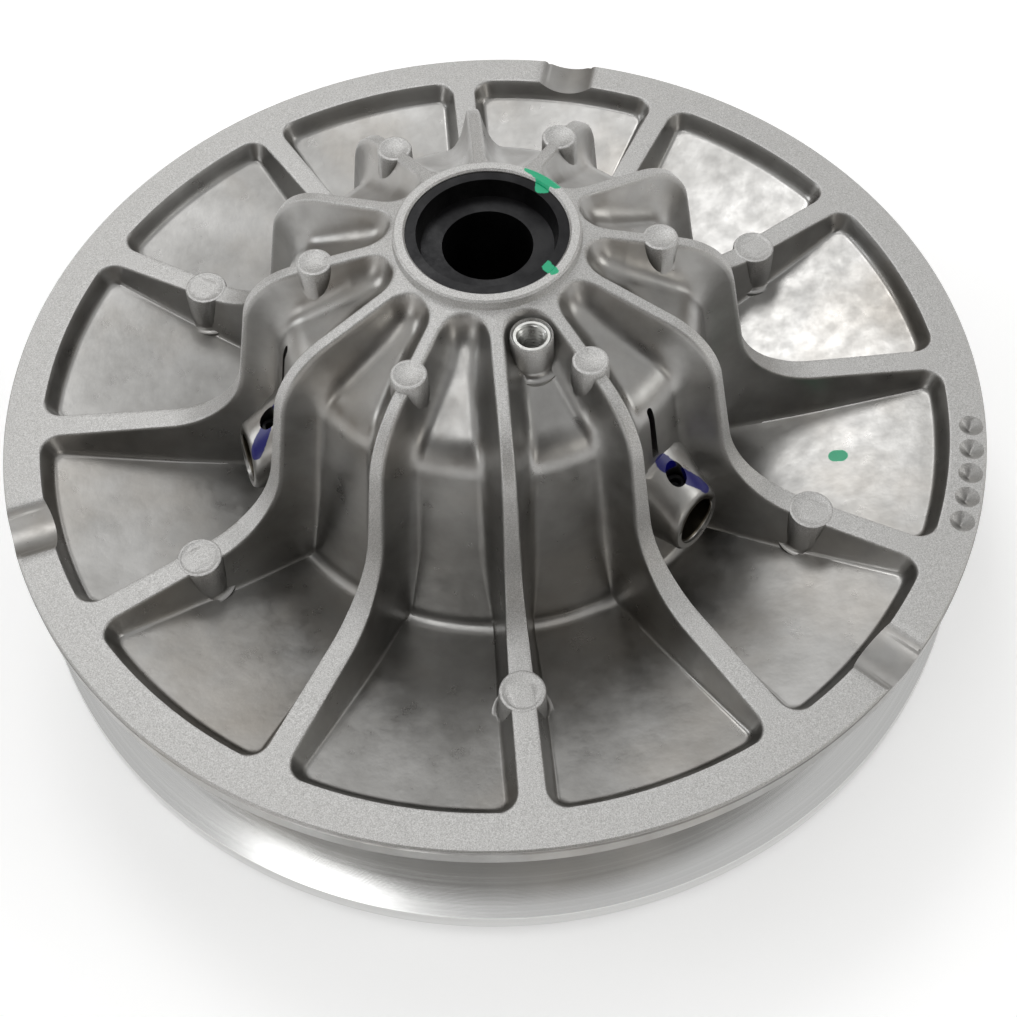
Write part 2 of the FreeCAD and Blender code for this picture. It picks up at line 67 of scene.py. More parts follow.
FIRST_DIMPLE = 335.6
DIMPLE_STEP = 3.475
OPENER_AZIMUTH = 285
OPENER_ORBIT = 34.0


# --- mesh helpers ---------------------------------------------------------------------------

def mesh_object(name, points_mm, faces, lift=0.0):
    """A mesh object from points in millimetres, lifted along the pulley axis."""
    points = (np.asarray(points_mm, dtype=float) + (0, 0, lift)) * MM
    mesh = bpy.data.meshes.new(name)
    mesh.from_pydata(points.tolist(), [], faces if isinstance(faces, list) else faces.tolist())
    mesh.validate()
    shape = bmesh.new()
    shape.from_mesh(mesh)
    bmesh.ops.recalc_face_normals(shape, faces=shape.faces)
    shape.to_mesh(mesh)
    shape.free()
    obj = bpy.data.objects.new(name, mesh)
    bpy.context.scene.collection.objects.link(obj)
    return obj


def smooth(obj, angle=34):
    """Smooth shading that stays crisp at edges sharper than an angle in degrees."""
    obj.data.polygons.foreach_set("use_smooth", [True] * len(obj.data.polygons))
    obj.data.set_sharp_from_angle(angle=math.radians(angle))
    obj.data.update()


def ring_faces(rows, columns, closed_rows=True):
    """Quads of a grid that closes round its columns, and round its rows too when asked."""
    row = np.arange(rows if closed_rows else rows - 1)[:, None]
    column = np.arange(columns)[None, :]
    after_row, after_column = (row + 1) % rows, (column + 1) % columns
    corners = (row * columns + column, row * columns + after_column,
               after_row * columns + after_column, after_row * columns + column)
    return np.stack(np.broadcast_arrays(*corners), axis=-1).reshape(-1, 4)


def lathe(profile, columns=64):
    """Points and faces of a closed turned shape, from an outline that starts and ends on the axis."""
    turn = np.linspace(0, 2 * math.pi, columns, endpoint=False)
    inner = np.asarray(profile[1:-1], dtype=float)
    x = inner[:, 0, None] * np.cos(turn)
    y = inner[:, 0, None] * np.sin(turn)
    z = np.repeat(inner[:, 1, None], columns, axis=1)
    points = np.stack([x, y, z], axis=-1).reshape(-1, 3)
    faces = ring_faces(len(inner), columns, closed_rows=False).tolist()
    first, last = len(points), len(points) + 1
    points = np.vstack([points, [[0, 0, profile[0][1]], [0, 0, profile[-1][1]]]])
    end = (len(inner) - 1) * columns
    faces += [[first, (k + 1) % columns, k] for k in range(columns)]
    faces += [[last, end + k, end + (k + 1) % columns] for k in range(columns)]
    return points, faces


def placed(shape, place):
    """Points and faces moved by a matrix."""
    points, faces = shape
    turn = np.array(place.to_3x3())
    return points @ turn.T + np.array(place.translation), faces


def standing(orbit, azimuth):
    """Place of a piece that stands along the axis at an orbit radius and azimuth."""
    angle = math.radians(azimuth)
    return Matrix.Translation((orbit * math.cos(angle), orbit * math.sin(angle), 0))


def outward(azimuth, height, distance=0.0):
    """Place of a piece whose own +Z points out along a radius."""
    turn = Matrix.Rotation(math.radians(azimuth), 4, "Z") @ Matrix.Rotation(math.radians(90), 4, "Y")
    return Matrix.Translation((0, 0, height)) @ turn @ Matrix.Translation((0, 0, distance))


def joined(name, shapes, lift=0.0):
    """One object of several separate closed shapes."""
    points, faces, count = [], [], 0
    for part_points, part_faces in shapes:
        points.append(part_points)
        faces += [[index + count for index in face] for face in part_faces]
        count += len(part_points)
    return mesh_object(name, np.vstack(points), faces, lift)


def combine(base, other, operation):
    """Apply a boolean to base and drop the other object."""
    modifier = base.modifiers.new("boolean", "BOOLEAN")
    modifier.operation = operation
    modifier.solver = "MANIFOLD"
    modifier.object = other
    graph = bpy.context.evaluated_depsgraph_get()
    result = bpy.data.meshes.new_from_object(base.evaluated_get(graph))
    base.modifiers.clear()
    old = base.data
    base.data = result
    bpy.data.meshes.remove(old)
    bpy.data.objects.remove(other)


def finish_with(obj, material):
    """One material all over an object."""
    obj.data.materials.clear()
    obj.data.materials.append(material)
    obj.data.polygons.foreach_set("material_index", [0] * len(obj.data.polygons))


# --- sections -------------------------------------------------------------------------------

def rounded_path(corners, step=0.04):
    """Densely sampled (radius, height) path with rounded corners, and the lengths where arcs start and end."""
    points, marks = [np.array(corners[0][:2], float)], [0.0]
    length = 0.0

    def run_to(target):
        nonlocal length
        start = points[-1]
        count = max(2, int(np.linalg.norm(target - start) / step))
        points.extend(start + (target - start) * k / count for k in range(1, count + 1))
        length += np.linalg.norm(target - start)
        marks.append(length)

    for before, corner, after in zip(corners, corners[1:], corners[2:]):
        at = np.array(corner[:2], float)
        back = np.array(before[:2], float) - at
        ahead = np.array(after[:2], float) - at
        back, ahead = back / np.linalg.norm(back), ahead / np.linalg.norm(ahead)
        half = math.acos(np.clip(back @ ahead, -1, 1)) / 2
        reach = corner[2] / math.tan(half)
        run_to(at + back * reach)
        bisector = (back + ahead) / np.linalg.norm(back + ahead)
        centre = at + bisector * corner[2] / math.sin(half)
        start = points[-1] - centre
        sweep = math.pi - 2 * half
        sign = 1 if start[0] * ahead[1] - start[1] * ahead[0] > 0 else -1
        count = max(4, int(sweep * corner[2] / step))
        for k in range(1, count + 1):
            angle = sign * sweep * k / count
            points.append(centre + (start[0] * math.cos(angle) - start[1] * math.sin(angle),
                                    start[0] * math.sin(angle) + start[1] * math.cos(angle)))
        length += sweep * corner[2]
        marks.append(length)
    run_to(np.array(corners[-1][:2], float))
    points = np.array(points)
    lengths = np.concatenate([[0], np.cumsum(np.linalg.norm(np.diff(points, axis=0), axis=1))])
    return points, lengths, marks


def along(path, length):
    """Points of a path at given lengths."""
    points, lengths, _ = path
    return np.stack([np.interp(length, lengths, points[:, k]) for k in (0, 1)], axis=-1)


def length_at(path, axis, value, start=0.0):
    """Length along a path where its radius (axis 0) or height (axis 1) first passes a value."""
    points, lengths, _ = path
    ahead = (points[:, axis] - value) * np.sign(points[-1, axis] - value)
    beyond = np.where((ahead >= 0) & (lengths > start))[0]
    return lengths[beyond[0]]


def ramp(x, bowl, first=0.12, last=0.6):
    """Depth over a pocket wall, 0..1: straight with a small foot fillet, or bowl shaped, or between."""
    x = np.clip(x, 0, 1)
    total = first / 2 + (last - first) + (1 - last) / 2
    low = x * x / (2 * first)
    middle = first / 2 + (x - first)
    high = first / 2 + (last - first) + ((1 - last) ** 2 - (1 - x) ** 2) / (2 * (1 - last))
    straight = np.where(x < first, low, np.where(x < last, middle, high)) / total
    eased = np.where(x < first, low, middle) / (1 - first / 2)
    return straight + (1 - (1 - eased) ** 2.5 - straight) * bowl


def pocket_depth(across, room, inward, outward_room, rounds, wall, bowl):
    """How far into a pocket a point is, over the wall's width, with rounded corners at both ends."""
    def rounded(side, end, radius):
        corner = (side < radius) & (end < radius)
        arc = radius - np.hypot(radius - side, radius - end)
        return np.where(corner, arc, np.minimum(side, end))
    inner = rounded(across, inward, np.minimum(rounds[0], room))
    outer = rounded(across, outward_room, rounds[1])
    return ramp(np.minimum(inner, outer) / wall, bowl)


def ribbed_section(crest, valley, stations, half_width, limits, walls, rounds, bowl_rise=(900, 901)):
    """Grid of points of a ribbed face: crest on the ribs, valley in the pockets between them.

    Walls are walls[0] wide on the disc and walls[1] wide and bowl shaped where the crest has risen.
    """
    crest_run, valley_run = [], []
    for (c0, v0), (c1, v1, rows) in zip([s[:2] for s in stations], stations[1:]):
        part = np.linspace(0, 1, rows, endpoint=False)
        crest_run.append(c0 + (c1 - c0) * part)
        valley_run.append(v0 + (v1 - v0) * part)
    crest_run = np.append(np.concatenate(crest_run), stations[-1][0])
    valley_run = np.append(np.concatenate(valley_run), stations[-1][1])
    top, low = along(crest, crest_run), along(valley, valley_run)
    half = half_width(top)
    span = top[:, 0] * SECTOR / 2
    room = span - half
    bowl = np.clip((top[:, 1] - bowl_rise[0]) / (bowl_rise[1] - bowl_rise[0]), 0, 1)
    wall = np.minimum(walls[0] + (walls[1] - walls[0]) * bowl, 0.95 * room)
    floor_steps = 1 - (1 - np.linspace(0, 1, 15)) ** 1.5
    wall_steps = 1 - (1 - np.linspace(0, 1, 15)[1:]) ** 1.4
    rib_steps = np.linspace(0, 1, 4)[1:]
    side = np.concatenate([
        (room - wall)[:, None] * floor_steps,
        (room - wall)[:, None] + wall[:, None] * wall_steps,
        room[:, None] + half[:, None] * rib_steps], axis=1)
    across = np.concatenate([-side[:, :0:-1], side[:, :-1]], axis=1)
    start, end = limits
    inward = (crest_run - start)[:, None] + 0 * across
    outer = (end - top[:, 0])[:, None] + 0 * across
    depth = pocket_depth(room[:, None] - np.abs(across), room[:, None], inward, outer, rounds, wall[:, None], bowl[:, None])
    angle = across / top[:, 0, None]
    radius = top[:, 0, None] + (low[:, 0] - top[:, 0])[:, None] * depth
    height = top[:, 1, None] + (low[:, 1] - top[:, 1])[:, None] * depth
    return radius, height, angle


def ribbed_casting(name, face, closing, lift, first_pocket):
    """Closed casting: a ribbed face repeated round the axis, closed by a turned outline behind it."""
    radius, height, angle = face
    closing = np.asarray(closing, dtype=float)
    share = np.linspace(0, 1, len(closing))[:, None]
    behind = angle[-1][None, :] * (1 - share) + angle[0][None, :] * share
    radius = np.vstack([radius, closing[:, 0, None] + 0 * behind])
    height = np.vstack([height, closing[:, 1, None] + 0 * behind])
    angle = np.vstack([angle, behind])
    sectors = math.radians(first_pocket) + SECTOR * np.arange(SECTORS)
    turn = (angle[:, None, :] + sectors[None, :, None]).reshape(len(angle), -1)
    radius = np.tile(radius, (1, SECTORS))
    height = np.tile(height, (1, SECTORS))
    points = np.stack([radius * np.cos(turn), radius * np.sin(turn), height], axis=-1)
    return mesh_object(name, points.reshape(-1, 3), ring_faces(*turn.shape), lift)


def dense(outline, step):
    """The outline with points added so that no run is longer than step."""
    points = [np.array(outline[0], float)]
    for target in outline[1:]:
        start, target = points[-1], np.array(target, float)
        count = max(1, int(np.linalg.norm(target - start) / step))
        points.extend(start + (target - start) * k / count for k in range(1, count + 1))
    return points


# --- outer sheave ---------------------------------------------------------------------------

BELT_SLOPE = 0.24
POCKET_EDGE = 134.4
CREST = rounded_path([(25.3, 67.1), (65.6, 56.4, 22), (76.2, -0.9, 24), (144.3, 0)])


def floor_height(radius):
    """The pockets' floor, parallel to the belt face under it."""
    return -4.9 - BELT_SLOPE * (POCKET_EDGE - radius)


VALLEY = rounded_path([(25.3, 62.5), (57.8, 45.4, 15), (68.2, -19.0, 2), (70.8, -20.1, 2.4),
                       (144.3, floor_height(144.3))])


def rib_half_width(crest_points):
    """Half the width of a rib: slim on the dome, wider on the disc."""
    radius, height = crest_points[:, 0], crest_points[:, 1]
    run = radius - np.minimum(height, 60)
    return np.interp(run, [-35, 0, 17, 45, 68, 82, 95, 132], [1.2, 1.2, 1.3, 1.65, 2.3, 2.8, 3.05, 3.3])


def outer_face():
    """The dome side of the outer sheave."""
    crest_marks, valley_marks = CREST[2], VALLEY[2]
    flat_start = 96.0
    stations = [
        (0, 0),
        (crest_marks[1], valley_marks[1], 44),
        (crest_marks[2], valley_marks[2], 26),
        (crest_marks[3], length_at(VALLEY, 1, 5.0, valley_marks[2]), 22),
        (crest_marks[4], length_at(VALLEY, 0, flat_start), 60),
        (length_at(CREST, 0, 118), length_at(VALLEY, 0, 118), 14),
        (length_at(CREST, 0, 135.4), length_at(VALLEY, 0, 135.4), 42),
        (CREST[1][-1], VALLEY[1][-1], 6),
    ]
    pocket_start = length_at(CREST, 0, 26.0)
    return ribbed_section(CREST, VALLEY, stations, rib_half_width, (pocket_start, POCKET_EDGE),
                          (3.8, 8.2), (9.0, 6.5), (3, 22))


def outer_back():
    """The rest of the outer sheave's section: lip, belt face, cavity, bore and hub ring."""
    face_end = (62.4, -6.4 - BELT_SLOPE * (145 - 62.4))
    return (dense([(144.8, -0.5), (144.8, -1.0), (144.3, -1.15), (144.3, -1.45), (145, -1.7), (145, -6.1),
                   (144.7, -6.45)], 2)
            + dense([(144.2, -6.6), face_end], 6)
            + dense([(61.8, -26.3), (53.5, -26.3), (53, -25.8)], 4)
            + dense([(53, 41), (52.2, 43.5), (50.5, 45.2), (48, 46)], 8)
            + dense([(22.4, 46), (21.8, 46.6), (21.8, 69.5), (22.3, 70)], 8)
            + dense([(24.4, 70), (25.0, 69.5), (25.1, 67.6)], 1))


def boss(radius, top, foot, flare):
    """A round boss: slightly dished top with a rolled edge, drafted wall and a flared foot."""
    flare_steps = [(radius + 0.25 + flare * (1 - math.sin(a)), foot + flare * (1 - math.cos(a)))
                   for a in np.linspace(0, math.pi / 2, 7)]
    outline = [(0, foot - 2.5), (radius + 0.25 + flare, foot - 2.5), *flare_steps,
               (radius, top - 0.7), (radius - 0.2, top - 0.2), (radius - 0.6, top),
               (radius - 1.0, top - 0.05), (radius - 1.4, top - 0.3), (0, top - 0.35)]
    return lathe(outline)


def housing():
    """A roller housing: a round boss on the pin's axis, with a pad that slopes up to the dome wall."""
    columns = 72
    turn = np.linspace(0, 2 * math.pi, columns, endpoint=False)
    sections = [(56, 15.0, 8), (61, 13.0, 7.5), (64, 11.2, 6.8), (67, 10.3, 5.4),   # radius, half width, rise
                (70, 9.9, 3.2), (72.5, 9.7, 1.4), (74.2, 9.5, 0.4), (75, 8.8, 0)]
    rows = []
    for radius, width, rise in sections:
        upright = ROLLER_LEVEL + rise * np.clip(0.5 + np.sin(turn) * 1.2, 0, 1)
        level = upright + width * np.sin(turn)
        lean = 0.13 * (level - ROLLER_LEVEL) * (radius - 56) / 19
        rows.append(np.stack([radius - lean, width * np.cos(turn), level], axis=-1))
    points = np.concatenate(rows)
    faces = ring_faces(len(sections), columns, closed_rows=False).tolist()
    faces.append(list(range(columns)))
    faces.append(list(range(len(points) - columns, len(points))))
    return points, faces


def outer_additions():
    """Bosses and housings that stand on the outer sheave."""
    shapes = []
    for k in range(6):
        shapes.append(placed(boss(4.85, 62.5, 50.5, 1.4), standing(46.3, 60 * k)))
        shapes.append(placed(boss(6.4, -0.3, -13.2, 1.8), standing(99.8, 30 + 60 * k)))
    shapes.append(placed(boss(5.6, 65.8, 55.0, 2.0), standing(OPENER_ORBIT, OPENER_AZIMUTH)))
    for azimuth in ROLLER_AZIMUTHS:
        shapes.append(placed(housing(), Matrix.Rotation(math.radians(azimuth), 4, "Z")))
    return shapes


def outer_cuts():
    """Bores, slits, notches and balance dimples of the outer sheave."""
    pin_bore = lathe([(0, 49), (6.03, 49), (6.03, 70), (6.75, 70.01), (6.75, 74.6), (7.3, 75.2),
                      (7.3, 84), (0, 84)])
    screw_bore = lathe([(0, 9), (3.05, 9), (3.05, 60), (0, 60)], 40)
    notch = lathe([(0, 126), (15.8, 126), (15.8, 150), (0, 150)], 180)
    dimple = lathe([(0, -2.8), (0.4, -2.6), (3.6, 0), (4.9, 1), (0, 1)], 48)
    opener = lathe([(0, 44), (4.85, 44), (4.85, 64.9), (5.3, 65.6), (5.3, 72), (0, 72)], 64)
    ends = [(0.95 * math.cos(a), 42 + 0.95 * math.sin(a)) for a in np.linspace(0, math.pi, 9)]
    side = ends + [(-1.15, 25), (1.15, 25)]
    slit = (np.array([(x, y - 2.6, z) for x in (50, 62.5) for y, z in side]),
            [list(range(11)), list(range(11, 22))]
            + [[k, (k + 1) % 11, 11 + (k + 1) % 11, 11 + k] for k in range(11)])
    shapes = [placed(opener, standing(OPENER_ORBIT, OPENER_AZIMUTH))]
    for azimuth in ROLLER_AZIMUTHS:
        shapes.append(placed(pin_bore, outward(azimuth, ROLLER_LEVEL)))
        shapes.append(placed(screw_bore, standing(SET_SCREW_ORBIT, azimuth)))
        shapes.append(placed(notch, outward(azimuth, NOTCH_LEVEL)))
        shapes.append(placed(slit, Matrix.Rotation(math.radians(azimuth), 4, "Z")))
    for k in range(5):
        shapes.append(placed(dimple, standing(DIMPLE_ORBIT, FIRST_DIMPLE + DIMPLE_STEP * k)))
    return shapes


def crest_finish_and_bore_shade_mask(obj, lift):
    """Vertex mask: 1 on blasted crests and boss tops, 0 in the pockets, -1 in the pin bores, where the casting gets
    painted shade.
    """
    count = len(obj.data.vertices)
    flat = np.empty(count * 3)
    obj.data.vertices.foreach_get("co", flat)
    points = flat.reshape(-1, 3) / MM - (0, 0, lift)
    radius, height = np.hypot(points[:, 0], points[:, 1]), points[:, 2]
    path = CREST[0]
    gap_up = np.abs(height - np.interp(radius, path[:, 0], path[:, 1]))
    order = np.argsort(path[:, 1])
    gap_side = np.abs(radius - np.interp(height, path[order, 1], path[order, 0]))
    gap = np.minimum(gap_up, np.where(height > 0, gap_side, 99))
    mask = np.clip(1.25 - gap / 0.7, 0, 1)
    mask = np.where((radius < 25.6) & (radius > 21), 1, mask)
    for orbit, top, reach, azimuths in ((46.3, 62.5, 5.2, range(0, 360, 60)),
                                        (99.8, -0.3, 6.7, range(30, 390, 60)),
                                        (OPENER_ORBIT, 65.8, 6.0, (OPENER_AZIMUTH,))):
        for azimuth in azimuths:
            x = orbit * math.cos(math.radians(azimuth))
            y = orbit * math.sin(math.radians(azimuth))
            near = np.hypot(points[:, 0] - x, points[:, 1] - y) < reach
            mask = np.where(near & (height > top - 0.9), 1, mask)
    # painted shade: the pin bores are marked -1, which darkens the casting's colour there
    for azimuth in ROLLER_AZIMUTHS:
        turn = math.radians(azimuth)
        side = points[:, 1] * math.cos(turn) - points[:, 0] * math.sin(turn)
        ahead = points[:, 0] * math.cos(turn) + points[:, 1] * math.sin(turn)
        bore = (np.hypot(side, height - ROLLER_LEVEL) < 6.9) & (ahead > 50) & (ahead < 74.8)
        mask = np.where(bore, -1, mask)
    attribute = obj.data.attributes.new("crest", "FLOAT", "POINT")
    attribute.data.foreach_set("value", mask.astype(np.float32))


def make_outer_sheave():
    """The whole outer sheave as one closed casting."""
    base = ribbed_casting("outer_sheave_casting", outer_face(), outer_back(), RIM_TOP, 15)
    combine(base, joined("additions", outer_additions(), RIM_TOP), "UNION")
    combine(base, joined("cuts", outer_cuts(), RIM_TOP), "DIFFERENCE")
    crest_finish_and_bore_shade_mask(base, RIM_TOP)
    smooth(base, 38)
    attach(base, "outer_half")
    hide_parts("outer_sheave")
    finish_with(base, cast_aluminium())
    return base


# --- inner sheave ---------------------------------------------------------------------------

def web_height(radius):
    """Underside of the inner sheave's web."""
    return 28.1 - 0.2217 * (radius - 56)


def inner_face():
    """The ribbed back of the inner sheave."""
    crest = rounded_path([(50, 0), (100, 0, 14), (144.4, 7.6)])
    valley = rounded_path([(50, web_height(50)), (97, web_height(97), 1), (144.4, web_height(144.4))])
    stations = [(0, 0)]
    for radius, rows in ((54, 2), (66, 24), (96, 20), (126, 20), (141, 30), (144.4, 3)):
        stations.append((length_at(crest, 0, radius - 0.001), length_at(valley, 0, radius - 0.001), rows))
    return ribbed_section(crest, valley, stations, lambda top: np.full(len(top), 3.0),
                          (length_at(crest, 0, 55.6), 139.4), (4.5, 4.5), (6.0, 6.0))


def make_inner_sheave():
    """The inner sheave: turned belt face, ribbed back and counterbored collar."""
    rim = 14.0
    behind = (dense([(145, 8.2), (145, 13.6), (144.7, 14.05)], 2)
              + dense([(144.2, rim + BELT_SLOPE * 0.8), (62.6, rim + BELT_SLOPE * 82.4)], 6)
              + dense([(61.8, 34), (42.1, 34), (41.5, 33.4)], 5)
              + dense([(41.5, 0.6), (42.1, 0)], 8))
    base = ribbed_casting("inner_sheave_casting", inner_face(), behind, 0.0, 0)
    cuts = []
    for k in range(6):
        screw_hole = lathe([(0, -2), (5.3, -2), (5.3, 0.0), (4.7, 0.6), (4.7, 21), (2.8, 21), (2.8, 35), (0, 35)])
        cuts.append(placed(screw_hole, standing(47, 60 * k)))
    combine(base, joined("cuts", cuts), "DIFFERENCE")
    smooth(base, 38)
    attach(base, "inner_half")
    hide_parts("inner_sheave")
    finish_with(base, turned_aluminium())
    return base


# --- spring and thread ----------------------------------------------------------------------

SPRING_TURNS = 8.2


def make_spring():
    """Round-wire compression spring with closed, ground ends."""
    low, high = (value[2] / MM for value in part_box("compression_spring"))
    wire, orbit, turns = 2.95, 34.0, SPRING_TURNS
    steps, around = int(turns * 72), 20
    share = np.linspace(0, 1, steps + 1)
    closed = 1.1 / turns
    ease = np.clip((share - closed) / (1 - 2 * closed), 0, 1)
    run = wire * 1.6 * np.minimum(share / closed, 1) / 2
    lead = run + (high - low - 2 * wire - 1.6 * wire) * ease
    lead = lead + wire * 1.6 / 2 * np.clip((share - 1 + closed) / closed, 0, 1)
    turn = 2 * math.pi * turns * share
    section = np.linspace(0, 2 * math.pi, around, endpoint=False)
    radius = orbit + wire * np.cos(section)[None, :] + 0 * turn[:, None]
    height = np.clip(low + wire + lead[:, None] + wire * np.sin(section)[None, :], low, high)
    points = np.stack([radius * np.cos(turn)[:, None], radius * np.sin(turn)[:, None], height], axis=-1)
    faces = ring_faces(steps + 1, around, closed_rows=False).tolist()
    faces += [list(range(around)), list(range(steps * around, (steps + 1) * around))]
    spring = mesh_object("spring_coil", points.reshape(-1, 3), faces)
    smooth(spring, 40)
    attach(spring, "inner_half")
    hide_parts("compression_spring")
    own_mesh(spring)
    finish_with(spring, spring_steel())
    return spring


def make_opener_insert():
    """The threaded insert, with a real helical thread in its bore."""
    low, high = (value[2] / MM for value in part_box("opener_insert"))
    pitch, core, depth, columns = 1.25, 3.35, 0.62, 56
    rows = int((high - low) / pitch * 10)
    level = np.linspace(0, high - low, rows)[:, None]
    turn = np.linspace(0, 2 * math.pi, columns, endpoint=False)[None, :]
    phase = (level / pitch - turn / (2 * math.pi)) % 1
    fade = np.clip(np.minimum(level, high - low - level) / 0.6, 0, 1)
    bore = core + depth * (1 - np.abs(2 * phase - 1)) * fade + 0.7 * (1 - fade)
    inner = np.stack([bore * np.cos(turn), bore * np.sin(turn), low + level + 0 * turn], axis=-1)
    outer = np.stack([4.8 * np.cos(turn), 4.8 * np.sin(turn), 0 * turn], axis=-1)
    rings = [inner.reshape(-1, 3), (outer + (0, 0, high)).reshape(-1, 3), (outer + (0, 0, low)).reshape(-1, 3)]
    insert = mesh_object("opener_thread", np.vstack(rings), ring_faces(rows + 2, columns))
    place = standing(OPENER_ORBIT * MM, OPENER_AZIMUTH)
    insert.data.transform(place)
    smooth(insert, 30)
    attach(insert, "outer_half")
    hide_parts("opener_insert")
    finish_with(insert, zinc_steel())
    return insert


# --- materials ------------------------------------------------------------------------------

class Shade:
    """A small builder for one procedural material."""

    def __init__(self, name, colour, metallic, roughness):
        self.material = bpy.data.materials.new(name)
        self.material.use_nodes = True
        self.tree = self.material.node_tree
        self.shader = self.tree.nodes["Principled BSDF"]
        self.shader.inputs["Base Color"].default_value = (*colour, 1)
        self.shader.inputs["Metallic"].default_value = metallic
        self.shader.inputs["Roughness"].default_value = roughness
        self.place = self.node("ShaderNodeTexCoord").outputs["Object"]

    def node(self, kind, **inputs):
        """A node with some inputs set or linked; underscores stand for spaces."""
        made = self.tree.nodes.new(kind)
        for name, value in inputs.items():
            self.put(made, name.replace("_", " "), value)
        return made

    def put(self, node, socket, value):
        """Set a socket to a value or link it."""
        target = node.inputs[socket] if isinstance(socket, (str, int)) else socket
        if isinstance(value, bpy.types.NodeSocket):
            self.tree.links.new(value, target)
        else:
            target.default_value = value

    def noise(self, scale, detail=4.0, rough=0.55, place=None):
        """Noise over the object's own coordinates, in metres."""
        made = self.node("ShaderNodeTexNoise", Scale=scale, Detail=detail, Roughness=rough)
        self.put(made, "Vector", place or self.place)
        return made.outputs["Fac"]

    def math(self, operation, first, second=0.0, third=None, clamp=False):
        """One arithmetic step."""
        made = self.tree.nodes.new("ShaderNodeMath")
        made.operation = operation
        made.use_clamp = clamp
        self.put(made, 0, first)
        self.put(made, 1, second)
        if third is not None:
            self.put(made, 2, third)
        return made.outputs[0]

    def most(self, values):
        """The largest of several values."""
        top = values[0]
        for value in values[1:]:
            top = self.math("MAXIMUM", top, value)
        return top

    def span(self, value, low, high, to_low=0.0, to_high=1.0):
        """Map a value's range, clamped."""
        made = self.node("ShaderNodeMapRange", Value=value)
        for name, number in (("From Min", low), ("From Max", high), ("To Min", to_low), ("To Max", to_high)):
            self.put(made, name, number)
        return made.outputs[0]

    def blend(self, factor, first, second):
        """Mix two colours."""
        made = self.tree.nodes.new("ShaderNodeMix")
        made.data_type = "RGBA"
        self.put(made, 0, factor)
        self.put(made, 6, (*first, 1) if isinstance(first, tuple) else first)
        self.put(made, 7, (*second, 1) if isinstance(second, tuple) else second)
        return made.outputs[2]

    def bump(self, height, distance, strength=1.0, before=None):
        """Bump from a height, on top of an earlier bump."""
        made = self.node("ShaderNodeBump", Height=height, Distance=distance, Strength=strength)
        if before is not None:
            self.put(made, "Normal", before)
        return made.outputs["Normal"]

    def axis_radius(self):
        """Distance from the pulley axis, in metres."""
        parts = self.node("ShaderNodeSeparateXYZ", Vector=self.place)
        return self.math("SQRT", self.math("ADD", self.math("MULTIPLY", parts.outputs[0], parts.outputs[0]),
                                           self.math("MULTIPLY", parts.outputs[1], parts.outputs[1])))

    def stroke(self, start, end, radius, ragged):
        """1 inside a brushed stroke between two points in millimetres, with a ragged edge."""
        start, end = Vector(start) * MM, Vector(end) * MM
        run = end - start
        offset = self.node("ShaderNodeVectorMath")
        offset.operation = "SUBTRACT"
        self.put(offset, 0, self.place)
        self.put(offset, 1, tuple(start))
        dot = self.node("ShaderNodeVectorMath")
        dot.operation = "DOT_PRODUCT"
        self.put(dot, 0, offset.outputs[0])
        self.put(dot, 1, tuple(run / max(run.length_squared, 1e-12)))
        share = self.math("MULTIPLY", dot.outputs["Value"], 1.0, clamp=True)
        nearest = self.node("ShaderNodeVectorMath")
        nearest.operation = "SCALE"
        self.put(nearest, 0, tuple(run))
        self.put(nearest, "Scale", share)
        gap = self.node("ShaderNodeVectorMath")
        gap.operation = "DISTANCE"
        self.put(gap, 0, offset.outputs[0])
        self.put(gap, 1, nearest.outputs[0])
        wobble = self.math("MULTIPLY_ADD", self.noise(330, 3), ragged * MM * 2, -ragged * MM)
        distance = self.math("ADD", gap.outputs["Value"], wobble)
        return self.span(distance, radius * MM, (radius + 0.25) * MM, 1.0, 0.0)


def polar(radius, azimuth, height):
    """A point in millimetres from its radius, azimuth and height above the rim's flat face."""
    angle = math.radians(azimuth)
    return radius * math.cos(angle), radius * math.sin(angle), RIM_TOP + height


GREEN = (0.0, 0.42, 0.20)
BLUE = (0.002, 0.002, 0.13)
HUB_GREEN = [(polar(24.4, 58, 70), polar(24.2, 36, 70), 1.3),
             (polar(23.6, 46, 70), polar(21.6, 42, 69.2), 2.1),
             (polar(19.6, 318, 69), polar(22.6, 315, 69.8), 1.2)]
PIN_BLUE = [(polar(60.0, -1.5, 22), polar(66.4, 0.4, 18), 2.3),
            (polar(66.0, 0.4, 18), polar(73.5, 4.6, 12), 1.9)]


def painted(shade, colour, roughness, strokes, paint):
    """Brush paint marks over a colour and roughness."""
    mask = shade.most([shade.stroke(start, end, radius, 0.9) for start, end, radius in strokes])
    return shade.blend(mask, colour, paint), shade.math(
        "MULTIPLY_ADD", mask, shade.math("SUBTRACT", 0.35, roughness), roughness), mask


